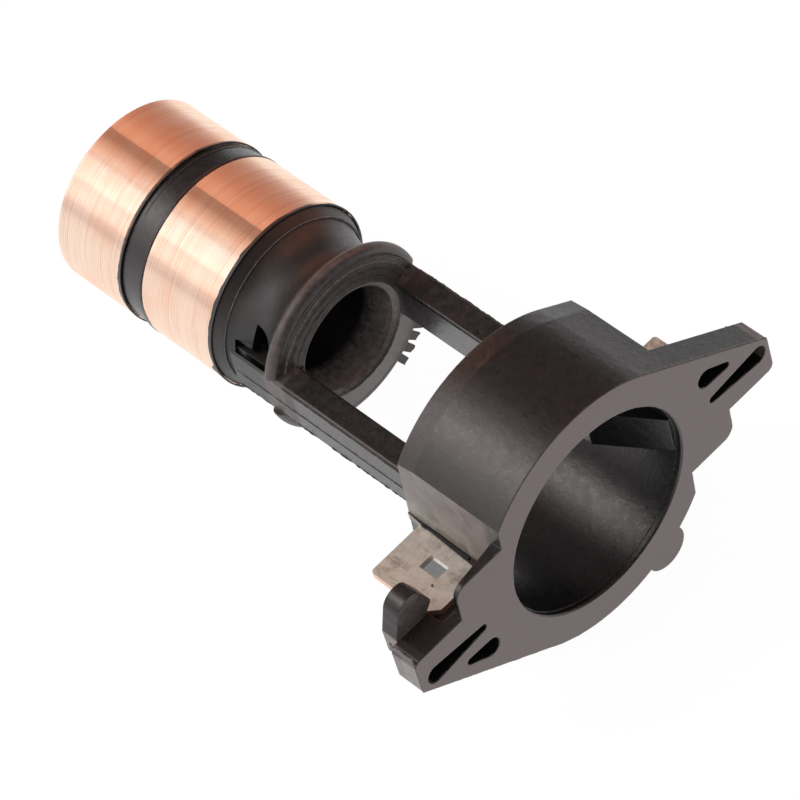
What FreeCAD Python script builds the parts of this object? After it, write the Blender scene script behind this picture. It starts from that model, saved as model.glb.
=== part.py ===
import FreeCAD, Part
import math
import os

# Alternator slip ring: a black phenolic moulding that carries two copper rings, and two flat copper
# strips that lead from the rings, through the moulding's two arms, to soldering tabs at the flange.
# Units are millimetres. X is the shaft's axis and points out of the flange's front face, Y runs to the
# right ear and Z is up. The origin is the centre of the collar's bore, in the flange's front face.
# The strips, arms, ears, tabs and fins repeat after half a turn about X. Only the keying lobe does not.
# Places along the axis are given as distances behind the flange's front face.

# Collar, which sits round the shaft in front of the bearing
collar_bore_radius = 8.5
collar_bore_chamfer = 0.12
collar_outer_radius = 11.3
collar_length = 10.1
collar_lead_length = 1.7
collar_lead_drop = 0.2
flat_distance = 9.0
flat_lean = 3.7
flat_top_edge = 9.4

# Ears and shoulders of the flange, which differ a little from side to side, and the single keying lobe
ear_thickness = 2.4
ear_slope = 54.9
left_ear_reach, left_ear_lower_edge = 18.3, 2.45
right_ear_reach, right_ear_lower_edge = 18.0, 2.35
left_shoulder_reach, left_shoulder_drop = 13.3, 5.55
right_shoulder_reach, right_shoulder_drop = 13.1, 5.05
ear_tip_round = 0.6
ear_root_overlap = 0.5
front_plate_thickness = 1.0
shoulder_edge_thickness = 0.4
shoulder_flare = 0.3
shoulder_round = 1.0
lobe_angle = -65.3
lobe_centre_radius = 11.3
lobe_round = 1.85

# Drop-shaped pockets in each ear: the two ends' distances, heights and radii
pocket_floor = 0.6
long_pocket_inner = 12.05
left_pocket_inset = 1.5
right_pocket_inset = 1.2
long_pocket_height = 0.3
long_pocket_inner_round, long_pocket_outer_round = 0.35, 0.85
short_pocket_inner = 11.9
short_pocket_length = 1.95
short_pocket_inner_height, short_pocket_outer_height = 2.95, 2.35
short_pocket_inner_round, short_pocket_outer_round = 0.85, 0.35

# Fin behind each ear, outside the soldering tab
fin_thickness = 1.5
fin_width = 3.1
fin_tab_gap = 0.3
fin_foot = 0.1
fin_web_reach = 1.2
fin_shoulder_height = 2.5
fin_height = 5.6
fin_lean = 1.0
fin_crown_inset = 0.4
fin_crown_outer_round = 1.4
fin_crown_inner_round = 0.9
fin_knob_overhang = 0.6
fin_knob_height = 3.4
fin_knob_round = 0.5
fin_tab_clearance = 0.8

# Slip rings
ring_outer_radius = 7.7
ring_wall = 1.2
outer_ring_width = 7.0
inner_ring_width = 7.55
ring_gap = 2.4
ring_chamfer = 0.15
ring_key_depth = 0.35
ring_key_width = 2.4

# Hub, which carries the rings on the shaft's end
overall_length = 49.35
hub_end_recess = 0.2
hub_bore_radius = 4.0
gap_band_radius = 7.55
lip_radius = 7.6
lip_width = 0.9
lip_near_radius = 7.05
lip_step = 0.12
nose_to_ring = 7.1
groove_radius = 6.35
groove_behind_nose = 4.0
bead_behind_nose = 0.95
bead_radius = 7.73
bead_round = 0.6
bead_back_angle = 20
bead_front_angle = 15
mouth_radius = 4.45
mouth_depth = 2.6
mouth_edge_radius = 4.9
mouth_edge_depth = 0.35

# Pockets where each arm crosses the hub's groove, a high one and a low one behind it. They reach
# down into the arm behind a thin outer wall, and beside the strip a slot goes deeper.
groove_pocket_behind_nose = 1.5
groove_pocket_wall = 0.3
groove_pocket_floor = 1.65
groove_pocket_length = 2.45
groove_pocket_top = 4.15
groove_pocket_inner = 4.3
groove_step_length = 1.55
groove_step_top = 2.0
groove_step_inner = 5.0
groove_slot_floor = 0.6
groove_slot_inner = 6.2
groove_slot_top_inner = 5.9

# Arms, which bridge the bearing
arm_inner = 5.0
arm_outer = 7.22
arm_top = 2.5
arm_bottom = -1.5
arm_round = 0.25
arm_draft = 0.1
arm_draft_height = 2.2
arm_ring_gap = 1.9
arm_ramp_start = 6.0
arm_ramp_end = 0.7
arm_ramp_lip = 0.3
arm_root_margin = 0.1
arm_root_setback = 1.2
arm_root_ramp = 1.3
arm_root_embed = 0.3
arm_notch_inner = 6.3
arm_notch_depth = 1.5
parting_groove_height = 0.12
parting_groove_depth = 0.15

# Copper strips, each one stamping: a pad under its ring, a lead in the arm and a soldering tab
strip_thickness = 0.6
strip_top = 1.5
lead_width = 0.6
lead_ring_clearance = 0.3
pad_length = 3.0
left_tab_back = 8.75
right_tab_back = 8.05
left_tab_inset = 4.1
right_tab_inset = 3.8
tab_corner = 0.8
tab_corner_round = 0.3
tab_root = 7.9
tab_hole_length = 1.8
tab_hole_width = 1.25
tab_hole_position = 5.35
tab_hole_inset = 3.05
tab_notch_clearance = 0.3
tab_ledge_height = 0.12
tab_ledge_back_reach = 0.15
tab_ledge_front_reach = 0.5

# How far a cutting shape runs past what it cuts
overrun = 1.0

origin = FreeCAD.Vector(0, 0, 0)
axis_x = FreeCAD.Vector(1, 0, 0)

# Places along the axis that follow from the sizes above
ring_inner_radius = ring_outer_radius - ring_wall
outer_ring_near = overall_length - outer_ring_width
inner_ring_far = outer_ring_near - ring_gap
inner_ring_near = inner_ring_far - inner_ring_width
nose_position = inner_ring_near - nose_to_ring
groove_position = nose_position + groove_behind_nose
bead_position = nose_position + bead_behind_nose
groove_pocket_position = nose_position + groove_pocket_behind_nose
slope_tangent = math.radians(ear_slope)

# The leads lie as far out as the ring that they pass under allows
lead_outer = math.sqrt((ring_inner_radius - lead_ring_clearance) ** 2 - strip_top ** 2)
lead_inner = lead_outer - lead_width

# The tabs, pockets and fins follow the reach of their own ear
left_tab_reach = left_ear_reach - left_tab_inset
right_tab_reach = right_ear_reach - right_tab_inset


def turned(shape):
    """The same shape after half a turn about the shaft's axis."""
    copy = shape.copy()
    copy.rotate(origin, axis_x, 180)
    return copy


def point(x, y, z):
    return FreeCAD.Vector(x, y, z)


def line(start, end):
    return Part.LineSegment(start, end).toShape()


def arc(start, middle, end):
    return Part.Arc(start, middle, end).toShape()


def rounded_outline(corners, place):
    """A closed wire through corners (a, b, radius), each rounded by a tangent arc of its radius."""
    flat = [point(a, b, 0) for a, b, _ in corners]
    roundings = []
    for number, (_, _, radius) in enumerate(corners):
        here = flat[number]
        before = (flat[number - 1] - here).normalize()
        after = (flat[(number + 1) % len(flat)] - here).normalize()
        half_angle = before.getAngle(after) / 2
        setback = radius / math.tan(half_angle)
        to_middle = (before + after).normalize() * (radius / math.sin(half_angle) - radius)
        steps = [before * setback, to_middle, after * setback]
        roundings.append([place(here + step) for step in steps])
    edges = []
    for number, (start, middle, end) in enumerate(roundings):
        if corners[number][2] > 0:
            edges.append(arc(start, middle, end))
        edges.append(line(end, roundings[(number + 1) % len(roundings)][0]))
    return Part.Wire(edges)


def plate_across(corners, front, back):
    """A plate square to the axis, from front to back; its corners are (y, z, radius)."""
    wire = rounded_outline(corners, lambda p: point(-front, p.x, p.y))
    return Part.Face(wire).extrude(point(front - back, 0, 0))


def plate_level(corners, top, thickness):
    """A level plate that hangs below top; its corners are (x, y, radius)."""
    wire = rounded_outline(corners, lambda p: point(p.x, p.y, top))
    return Part.Face(wire).extrude(point(0, 0, -thickness))


def cylinder(radius, front, back):
    return Part.makeCylinder(radius, back - front, point(-back, 0, 0), axis_x)


def cone(front_radius, back_radius, front, back):
    return Part.makeCone(back_radius, front_radius, back - front, point(-back, 0, 0), axis_x)


def block(front, back, y_low, y_high, z_low, z_high):
    return Part.makeBox(back - front, y_high - y_low, z_high - z_low, point(-back, y_low, z_low))


def slope_height(y):
    """Height of the ear's slope, which leaves the collar's round as a tangent."""
    return (collar_outer_radius - y * math.cos(slope_tangent)) / math.sin(slope_tangent)


def make_tab_ledge():
    """The thin ledge on the collar's left flat from which the tab comes out, wider towards the ear."""
    return plate_level([
        (-collar_length, -(flat_distance - ear_root_overlap), 0),
        (-collar_length, -flat_distance, 0),
        (-left_tab_back, -(flat_distance + tab_ledge_back_reach), 0),
        (-ear_thickness, -(flat_distance + tab_ledge_front_reach), 0),
        (-ear_thickness, -(flat_distance - ear_root_overlap), 0),
    ], strip_top + tab_ledge_height, strip_thickness + 2 * tab_ledge_height)


def make_drop(inner, outer, depth):
    """A drop-shaped prism behind the front face: the outline round two circles, each (y, z, radius)."""
    (y1, z1, r1), (y2, z2, r2) = inner, outer
    heading = math.atan2(z2 - z1, y2 - y1)
    spread = math.acos((r1 - r2) / math.hypot(y2 - y1, z2 - z1))

    def on_circle(y, z, r, angle):
        return point(0, y + r * math.cos(angle), z + r * math.sin(angle))

    upper_inner = on_circle(y1, z1, r1, heading + spread)
    lower_inner = on_circle(y1, z1, r1, heading - spread)
    upper_outer = on_circle(y2, z2, r2, heading + spread)
    lower_outer = on_circle(y2, z2, r2, heading - spread)
    wire = Part.Wire([
        arc(upper_inner, on_circle(y1, z1, r1, heading + math.pi), lower_inner),
        line(lower_inner, lower_outer),
        arc(lower_outer, on_circle(y2, z2, r2, heading), upper_outer),
        line(upper_outer, upper_inner),
    ])
    return Part.Face(wire).extrude(point(-depth, 0, 0))


def make_slope_taper():
    """What is cut from the back of a slope, so that it goes on from the conical lead beside it."""
    lead_start = collar_length - collar_lead_length
    corners = [
        point(-lead_start, 0, collar_outer_radius),
        point(-lead_start, 0, collar_outer_radius + overrun),
        point(-collar_length, 0, collar_outer_radius + overrun),
        point(-collar_length, 0, collar_outer_radius - collar_lead_drop),
    ]
    taper = Part.Face(Part.makePolygon(corners + corners[:1])).extrude(point(0, collar_outer_radius, 0))
    taper.rotate(origin, axis_x, ear_slope - 90)
    return taper


def make_collar():
    """The collar's blank: round, with a conical lead at its back, carried out to the ears' slopes."""
    lead_start = collar_length - collar_lead_length
    straight = cylinder(collar_outer_radius, 0, lead_start)
    lead = cone(collar_outer_radius, collar_outer_radius - collar_lead_drop, lead_start, collar_length)
    foot = collar_outer_radius * math.cos(slope_tangent)
    wedge = plate_across([
        (foot, slope_height(foot), 0),
        (flat_top_edge, slope_height(flat_top_edge), 0),
        (flat_top_edge, 0, 0),
        (0, 0, 0),
    ], 0, collar_length).cut(make_slope_taper())
    blank = straight.fuse([lead, wedge, turned(wedge)])
    reach = 3 * collar_outer_radius
    side = block(0, collar_length, flat_distance, flat_distance + reach, -reach / 2, reach / 2)
    side.rotate(point(0, flat_distance, 0), axis_x, -flat_lean)
    return blank.cut([side, turned(side)])


def make_ear(reach, lower_edge, shoulder_reach, shoulder_drop, tab_reach):
    """An ear, as on the right: the thick blade below the slope and the thin shoulder under it."""
    root = flat_distance - ear_root_overlap
    blade = plate_across([
        (root, slope_height(root), 0),
        (reach, slope_height(reach), ear_tip_round / 2),
        (reach, -lower_edge, ear_tip_round),
        (root, -lower_edge, 0),
    ], 0, ear_thickness)
    tab_place = block(front_plate_thickness, ear_thickness, root, tab_reach + tab_notch_clearance,
                      -lower_edge, strip_thickness - strip_top)
    shoulder = plate_across([
        (root, 0, 0),
        (shoulder_reach + shoulder_flare, 0, 0),
        (shoulder_reach, -shoulder_drop, shoulder_round),
        (root, -shoulder_drop, 0),
    ], 0, front_plate_thickness)
    bevel = plate_level([
        (-front_plate_thickness, root, 0),
        (-shoulder_edge_thickness, shoulder_reach, 0),
        (-shoulder_edge_thickness, shoulder_reach + overrun, 0),
        (-front_plate_thickness, shoulder_reach + overrun, 0),
    ], -lower_edge, shoulder_drop)
    return blade.cut(tab_place).fuse(shoulder.cut(bevel))


def make_ear_pockets(long_pocket_outer):
    """The long and the short drop-shaped pocket in the right ear's front face."""
    depth = ear_thickness - pocket_floor
    long_pocket = make_drop((long_pocket_inner, long_pocket_height, long_pocket_inner_round),
                            (long_pocket_outer, long_pocket_height, long_pocket_outer_round), depth)
    short_pocket_outer = short_pocket_inner + short_pocket_length
    short_pocket = make_drop((short_pocket_inner, short_pocket_inner_height, short_pocket_inner_round),
                             (short_pocket_outer, short_pocket_outer_height, short_pocket_outer_round), depth)
    return [long_pocket, short_pocket]


def make_fin(lower_edge, tab_reach):
    """The fin behind the right ear, with a knob on its inner side and a web that carries the tab's corner."""
    fin_inner = tab_reach + fin_tab_gap
    fin_outer = fin_inner + fin_width
    knob_foot = lower_edge + fin_tab_clearance - fin_knob_round
    tab_face = strip_top - strip_thickness
    return plate_across([
        (fin_outer, -fin_foot, 0),
        (fin_outer, -fin_shoulder_height, fin_knob_round),
        (fin_outer - fin_lean, -fin_height, fin_crown_outer_round),
        (fin_inner + fin_crown_inset, -fin_height, fin_crown_inner_round),
        (fin_inner - fin_knob_overhang, -fin_knob_height, fin_knob_round),
        (fin_inner, -knob_foot, 0),
        (fin_inner, -tab_face, 0),
        (tab_reach - fin_web_reach, -tab_face, 0),
        (tab_reach - fin_web_reach, -fin_foot, 0),
    ], ear_thickness, ear_thickness + fin_thickness)


def make_lobe():
    """The single keying lobe, a round tooth on the lower right of the flange."""
    angle = math.radians(lobe_angle)
    centre_y = lobe_centre_radius * math.cos(angle)
    centre_z = lobe_centre_radius * math.sin(angle)
    return Part.makeCylinder(lobe_round, ear_thickness, point(-ear_thickness, centre_y, centre_z), axis_x)


def flare(start, end):
    """An arc in the plane y = 0 that leaves start along the axis and ends at end, further out."""
    run, rise = end.x - start.x, end.z - start.z
    bend = (run ** 2 + rise ** 2) / (2 * rise)
    half_turn = math.asin(run / bend) / 2
    middle = start + point(bend * math.sin(half_turn), 0, bend * (1 - math.cos(half_turn)))
    return arc(start, middle, end)


def make_bead_relief():
    """What is cut from the bead, so that the left arm's outer face runs on across it."""
    outside = -(bead_radius + overrun)
    return plate_across([
        (outside, arm_bottom, 0),
        (-arm_outer, arm_bottom, 0),
        (-arm_outer, arm_top - arm_draft_height, 0),
        (-(arm_outer - arm_draft), arm_top, 0),
        (outside, arm_top, 0),
    ], nose_position, groove_position)


def make_hub():
    """The hub's turned outline, from its far end to the nose, before the rings and bores are cut."""
    bead_centre = bead_radius - bead_round
    back_angle, front_angle = math.radians(bead_back_angle), math.radians(bead_front_angle)

    def at(position, radius):
        return point(-position, 0, radius)

    def on_bead(angle):
        return at(bead_position + bead_round * math.cos(angle), bead_centre + bead_round * math.sin(angle))

    def groove_side(end):
        return flare(at(groove_position, groove_radius), end)

    far_end = overall_length - hub_end_recess
    lip_near = inner_ring_near - lip_width
    neck_radius = lip_near_radius - lip_step
    edges = [
        line(at(far_end, 0), at(far_end, gap_band_radius)),
        line(at(far_end, gap_band_radius), at(inner_ring_near, gap_band_radius)),
        line(at(inner_ring_near, gap_band_radius), at(inner_ring_near, lip_radius)),
        line(at(inner_ring_near, lip_radius), at(lip_near, lip_near_radius)),
        line(at(lip_near, lip_near_radius), at(lip_near, neck_radius)),
        groove_side(at(lip_near, neck_radius)),
        groove_side(on_bead(back_angle)),
        arc(on_bead(back_angle), on_bead(math.pi / 2), on_bead(math.pi + front_angle)),
        line(on_bead(math.pi + front_angle), at(nose_position, mouth_edge_radius)),
        line(at(nose_position, mouth_edge_radius), at(nose_position, 0)),
        line(at(nose_position, 0), at(far_end, 0)),
    ]
    relief = make_bead_relief()
    return Part.Face(Part.Wire(edges)).revolve(origin, axis_x, 360).cut([relief, turned(relief)])


def make_hub_bores():
    """The hub's through bore, its flared mouth and the broken edge at the nose."""
    mouth_start, mouth_end = nose_position + mouth_edge_depth, nose_position + mouth_depth
    bore_wall, lip = point(-mouth_end, 0, hub_bore_radius), point(-mouth_start, 0, mouth_radius)
    outline = Part.Wire([
        flare(bore_wall, lip),
        line(lip, point(-mouth_start, 0, 0)),
        line(point(-mouth_start, 0, 0), point(-mouth_end, 0, 0)),
        line(point(-mouth_end, 0, 0), bore_wall),
    ])
    bore = cylinder(hub_bore_radius, nose_position, overall_length)
    mouth = Part.Face(outline).revolve(origin, axis_x, 360)
    edge = cone(mouth_edge_radius, mouth_radius, nose_position, mouth_start)
    return [bore, mouth, edge]


def make_groove_pockets():
    """The moulded pockets where the left arm crosses the hub's groove."""
    step_start = groove_pocket_position + groove_pocket_length
    step_end = step_start + groove_step_length
    outside, wall = -(bead_radius + overrun), -(arm_outer - groove_pocket_wall)
    return [
        block(groove_pocket_position, step_start, outside, -groove_pocket_inner, arm_top, groove_pocket_top),
        block(groove_pocket_position, step_start, wall, -groove_pocket_inner, groove_pocket_floor, arm_top),
        block(step_start, step_end, wall, -groove_step_inner, groove_pocket_floor, groove_step_top),
        block(step_start, step_end, wall, -groove_slot_top_inner, groove_step_top, arm_top),
        block(groove_pocket_position, step_end, wall, -groove_slot_inner, groove_slot_floor,
              groove_pocket_floor),
    ]


def make_arm():
    """The left arm from the hub's neck into the collar, with its ramp on the bore's wall."""
    beam = plate_across([
        (-arm_inner, arm_bottom, arm_round),
        (-arm_inner, arm_top, arm_round),
        (-(arm_outer - arm_draft), arm_top, arm_round),
        (-arm_outer, arm_top - arm_draft_height, 0),
        (-arm_outer, arm_bottom, arm_round),
    ], arm_ramp_start, inner_ring_near - arm_ring_gap)
    in_wall = collar_bore_radius + arm_root_embed
    root_back = collar_length - arm_root_setback
    root = plate_level([
        (-arm_ramp_end, -in_wall, 0),
        (-arm_ramp_end, -(collar_bore_radius - arm_ramp_lip), 0),
        (-arm_ramp_start, -arm_inner, 0),
        (-(root_back + arm_root_ramp), -arm_inner, 0),
        (-(root_back + arm_root_ramp), -(arm_outer - arm_draft), 0),
        (-root_back, -in_wall, 0),
    ], arm_top - arm_root_margin, arm_top - arm_bottom - 2 * arm_root_margin)
    groove_top = arm_top - arm_draft_height
    groove = block(collar_length, groove_pocket_position, -arm_outer - overrun,
                   -arm_outer + parting_groove_depth, groove_top - parting_groove_height, groove_top)
    return beam.fuse(root).cut(groove)


def make_arm_notch():
    """The notch in the right arm's upper edge, behind the hub's bead."""
    return block(groove_pocket_position, inner_ring_near - lip_width, arm_notch_inner, arm_outer + overrun,
                 -arm_bottom - arm_notch_depth, -arm_bottom)


def make_ring(near, far):
    """A turned copper ring with chamfered edges and an undercut inside that locks it in the moulding."""
    key_near = (near + far - ring_key_width) / 2
    blank = cylinder(ring_outer_radius, near, far)
    rims = [edge for edge in blank.Edges if isinstance(edge.Curve, Part.Circle)]
    blank = blank.makeChamfer(ring_chamfer, rims)
    hole = cylinder(ring_inner_radius, near, far)
    key = cylinder(ring_inner_radius + ring_key_depth, key_near, key_near + ring_key_width)
    return blank.cut([hole, key])


def make_conductor(pad_centre, tab_reach, tab_back):
    """The left copper strip, with its pad against the inside of the ring whose middle is pad_centre."""
    pad_near, pad_far = pad_centre - pad_length / 2, pad_centre + pad_length / 2
    lead_end = arm_ramp_start + lead_width
    blank = plate_level([
        (-tab_back, -tab_reach, tab_corner_round),
        (-(ear_thickness + tab_corner), -tab_reach, 0),
        (-ear_thickness, -(tab_reach - tab_corner), 0),
        (-ear_thickness, -tab_root, 0),
        (-lead_end, -tab_root, 0),
        (-lead_end, -lead_inner, 0),
        (-pad_far, -lead_inner, 0),
        (-pad_far, -ring_outer_radius, 0),
        (-pad_near, -ring_outer_radius, 0),
        (-pad_near, -lead_outer, 0),
        (-tab_back, -lead_outer, 0),
    ], strip_top, strip_thickness)
    under_ring = cylinder(ring_inner_radius + ring_key_depth, pad_near, pad_far)
    around = cylinder(ring_outer_radius + overrun, pad_near, pad_far).cut(under_ring)
    hole_near = tab_hole_position - tab_hole_length / 2
    hole_outer = tab_reach - tab_hole_inset + tab_hole_width / 2
    hole = block(hole_near, hole_near + tab_hole_length, -hole_outer, tab_hole_width - hole_outer,
                 strip_top - strip_thickness, strip_top)
    return blank.cut([around, hole])


def make_body(inserts):
    """The one-piece moulding, with the copper inserts' places left out so that their faces meet."""
    left_ear = make_ear(left_ear_reach, left_ear_lower_edge, left_shoulder_reach, left_shoulder_drop,
                        left_tab_reach)
    right_ear = make_ear(right_ear_reach, right_ear_lower_edge, right_shoulder_reach, right_shoulder_drop,
                         right_tab_reach)
    left_fin = make_fin(left_ear_lower_edge, left_tab_reach)
    right_fin = make_fin(right_ear_lower_edge, right_tab_reach)
    arm, ledge = make_arm(), make_tab_ledge()
    flange = make_collar().fuse([turned(left_ear), right_ear, turned(left_fin), right_fin,
                                 ledge, turned(ledge), make_lobe()])
    bore_edge = cone(collar_bore_radius + collar_bore_chamfer, collar_bore_radius, 0, collar_bore_chamfer)
    flange = flange.cut([cylinder(collar_bore_radius, 0, collar_length), bore_edge])
    body = flange.fuse([arm, turned(arm), make_hub()])
    left_pockets = make_ear_pockets(left_ear_reach - left_pocket_inset)
    right_pockets = make_ear_pockets(right_ear_reach - right_pocket_inset)
    hub_pockets = make_groove_pockets()
    to_turn = left_pockets + hub_pockets
    body = body.cut(make_hub_bores() + [make_arm_notch()] + right_pockets + hub_pockets +
                    [turned(pocket) for pocket in to_turn])
    return body.cut(inserts).removeSplitter()


def main():
    os.makedirs("parts", exist_ok=True)
    outer_ring = make_ring(outer_ring_near, overall_length)
    inner_ring = make_ring(inner_ring_near, inner_ring_far)
    inner_pad_centre = (inner_ring_near + inner_ring_far) / 2
    outer_pad_centre = (outer_ring_near + overall_length) / 2
    inner_conductor = make_conductor(inner_pad_centre, left_tab_reach, left_tab_back).cut(inner_ring)
    outer_conductor = make_conductor(outer_pad_centre, right_tab_reach, right_tab_back)
    outer_conductor = turned(outer_conductor).cut(outer_ring)
    nodes = {
        "moulded_body": make_body([outer_ring, inner_ring, outer_conductor, inner_conductor]),
        "outer_slip_ring": outer_ring,
        "inner_slip_ring": inner_ring,
        "outer_conductor": outer_conductor,
        "inner_conductor": inner_conductor,
    }
    for name, shape in nodes.items():
        solids = shape.Solids
        print(name, "solids", len(solids), "valid", shape.isValid(), "volume", round(shape.Volume, 2))
        if len(solids) == 1:
            shape = solids[0]
        shape.exportStep("parts/%s.step" % name)


main()
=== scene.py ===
import math
from types import SimpleNamespace

import bmesh
import bpy
from mathutils import Matrix, Vector
from mathutils import noise as field
from mathutils.bvhtree import BVHTree


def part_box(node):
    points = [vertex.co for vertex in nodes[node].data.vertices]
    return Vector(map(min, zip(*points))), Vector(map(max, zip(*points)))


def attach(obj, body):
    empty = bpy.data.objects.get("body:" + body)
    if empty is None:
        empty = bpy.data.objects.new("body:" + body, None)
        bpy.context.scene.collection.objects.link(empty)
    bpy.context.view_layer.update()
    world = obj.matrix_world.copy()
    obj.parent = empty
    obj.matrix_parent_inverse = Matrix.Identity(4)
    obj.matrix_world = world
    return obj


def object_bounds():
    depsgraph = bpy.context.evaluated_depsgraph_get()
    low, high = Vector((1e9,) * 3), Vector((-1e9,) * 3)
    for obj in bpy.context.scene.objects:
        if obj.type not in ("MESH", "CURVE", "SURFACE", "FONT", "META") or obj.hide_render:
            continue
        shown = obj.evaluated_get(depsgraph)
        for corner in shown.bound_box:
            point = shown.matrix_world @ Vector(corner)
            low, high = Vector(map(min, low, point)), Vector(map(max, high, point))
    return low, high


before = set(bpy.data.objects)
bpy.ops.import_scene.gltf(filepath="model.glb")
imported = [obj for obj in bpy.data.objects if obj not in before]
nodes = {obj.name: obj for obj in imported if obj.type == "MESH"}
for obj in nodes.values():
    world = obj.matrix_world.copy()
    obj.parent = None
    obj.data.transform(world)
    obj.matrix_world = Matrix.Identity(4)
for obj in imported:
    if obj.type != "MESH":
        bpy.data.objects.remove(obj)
cad_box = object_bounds()

# The slip ring's solids get their materials here, some with painted light on the moulding, and the thin
# flash, ridges and crumbs that the mould and wear left on them, of which a near-black strip paints shade
# and a pale line paints a highlight. Sizes and places are in millimetres, and times MM they are metres.
# X runs along the shaft's axis, out of the flange's front face, Y to the right ear and Z up.
MM = 0.001
body = nodes["moulded_body"]

# Camera, solved from the photograph
CAMERA_PLACE = Vector((177.436, -116.738, 293.367)) * MM
CAMERA_RIGHT = Vector((0.696224, 0.691053, -0.194212))
CAMERA_UP = Vector((-0.486018, 0.652919, 0.580933))
CAMERA_LENS = 229.878
CAMERA_SENSOR = 36.0
CAMERA_NEAREST = 10.0
CAMERA_FARTHEST = 10000.0
PICTURE_SIZE = 800

# Surroundings. The floor lies just under the keying lobe.
OBJECT_MIDDLE = Vector((-25.0, 0.0, 0.0))
FLOOR_LEVEL = -12.16
FLOOR_RADIUS = 900.0
PANEL_DISTANCE = 500.0
WHITE = (1.0, 1.0, 1.0)
AMBIENT = (0.42, 0.42, 0.42)

# What the copper mirrors, as colours round the axis: 0 degrees is straight up and 90 is on the left.
# Dark stripes stand between the warm ones.
WARM_ROOM = (
    (-100, (0.8, 0.6, 0.5)), (-90, (0.80, 0.29, 0.15)), (-62, (1.7, 0.63, 0.33)), (-40, (2.0, 0.80, 0.46)),
    (-20, (3.0, 1.7, 1.2)), (-18.5, (0.02, 0.005, 0.005)), (-6, (0.02, 0.005, 0.005)),
    (-4.5, (2.5, 1.35, 0.88)), (6, (2.0, 1.3, 1.0)), (20, (0.04, 0.04, 0.04)), (40, (0.04, 0.04, 0.04)),
    (54, (2.0, 1.65, 1.5)), (75, (2.1, 1.8, 1.75)), (77, (0.4, 0.3, 0.25)), (79, (0.4, 0.3, 0.25)),
    (81, (1.9, 1.7, 1.65)), (96, (1.4, 1.4, 1.4)),
)
# What the black moulding mirrors, in the part of the room behind the rings
PLAIN_ROOM = (
    (-104, (1.0, 1.0, 1.0)), (-96, (0.20, 0.19, 0.19)), (-60, (0.13, 0.14, 0.14)),
    (-22, (0.12, 0.13, 0.13)), (-12, (0.11, 0.11, 0.11)), (-2, (0.40, 0.38, 0.37)),
    (8, (0.37, 0.36, 0.36)), (75, (0.48, 0.47, 0.47)), (84, (0.9, 0.9, 0.9)), (95, (1.0, 1.0, 1.0)),
)
# Stretches of the room's length, from -1 behind the rings to 1 in front of the flange
PLAIN_STRETCH = (-0.74, -0.25)
FRONT_STRETCH = (0.3, 2.0)
FRONT_COLOUR = (0.14, 0.125, 0.12)

# Stretches along the axis, each from its far end to its near one. The hub's runs on past the part's end.
HUB_ALONG = (-60.0, -24.5)
HUB_FRONT_ALONG = (-26.9, -25.0)
HUB_ROUGH_ALONG = (-33.0, -24.0)
GROOVE_ALONG = (-31.4, -27.8)
MOUTH_ALONG = (-27.6, -25.3)
ARMS_ALONG = (-25.2, -10.0)
COLLAR_ALONG = (-10.2, -0.3)
FLAT_ALONG = (-10.2, -1.7)
TAB_HOLE_ALONG = (-6.4, -4.3)
FRONT_FACE_BACK = -0.3
FIN_FRONT = -1.5
FIN_STREAKS_FRONT = -2.5

# Places across the axis. The flat is the one on the left, from which the inner ring's tab comes out.
MOUTH_INSIDE = (0.0, 4.7)
MOUTH_LOWER_SIDE = (-9.0, -0.5)
FLAT_ACROSS = (-13.0, -8.3)
FLAT_BOTTOM = 1.3
TAB_REFLECTION_HEIGHTS = (2.5, 4.6)
SHOULDER_ACROSS = (5.0, 10.0)
TAB_HOLE_ACROSS = (10.4, 12.1)
FIN_INNER_SIDE = 14.2
FIN_FRONT_ACROSS = (16.2, 17.6)
FIN_Y_TIMES_Z = -37.0
EAR_END = 17.2
EAR_END_HALF_HEIGHT = 2.6

# Pixels of the photograph along the dark gap between the left tab and the flat, the pixels from one place
# to the next there, and the millimetres past which a place is left out
TAB_GAP_PIXELS = ((422, 525), (438, 535), (452, 546), (471, 560))
PIXEL_STEP = 1.5
LARGEST_JUMP = 1.5

# Flash: the degrees from one place to the next round the axis, its top's width as a share of its foot's,
# its least height, and how far one seed lies from the next in the noise
ANGLE_STEP = 1.5
FLASH_TOP_SHARE = 0.45
FLASH_LEAST_HEIGHT = 0.01
SEED_SHIFT = (7.3, 3.1, 1.7)

# A Mix node's inputs for a factor and two colours, and its output for the mixed colour
MIX_FACTOR, MIX_FIRST, MIX_SECOND, MIX_RESULT = 0, 6, 7, 2


def camera_axes():
    """The camera's directions to its right, up and back, square to each other."""
    right = CAMERA_RIGHT.normalized()
    back = right.cross(CAMERA_UP).normalized()
    return right, back.cross(right), back


def make_camera():
    data = bpy.data.cameras.new("camera")
    data.lens = CAMERA_LENS
    data.sensor_width = CAMERA_SENSOR
    data.clip_start = CAMERA_NEAREST * MM
    data.clip_end = CAMERA_FARTHEST * MM
    camera = bpy.data.objects.new("camera", data)
    bpy.context.scene.collection.objects.link(camera)
    turn = Matrix(camera_axes()).transposed()
    camera.matrix_world = Matrix.Translation(CAMERA_PLACE) @ turn.to_4x4()
    bpy.context.scene.camera = camera


# Node helpers


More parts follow.
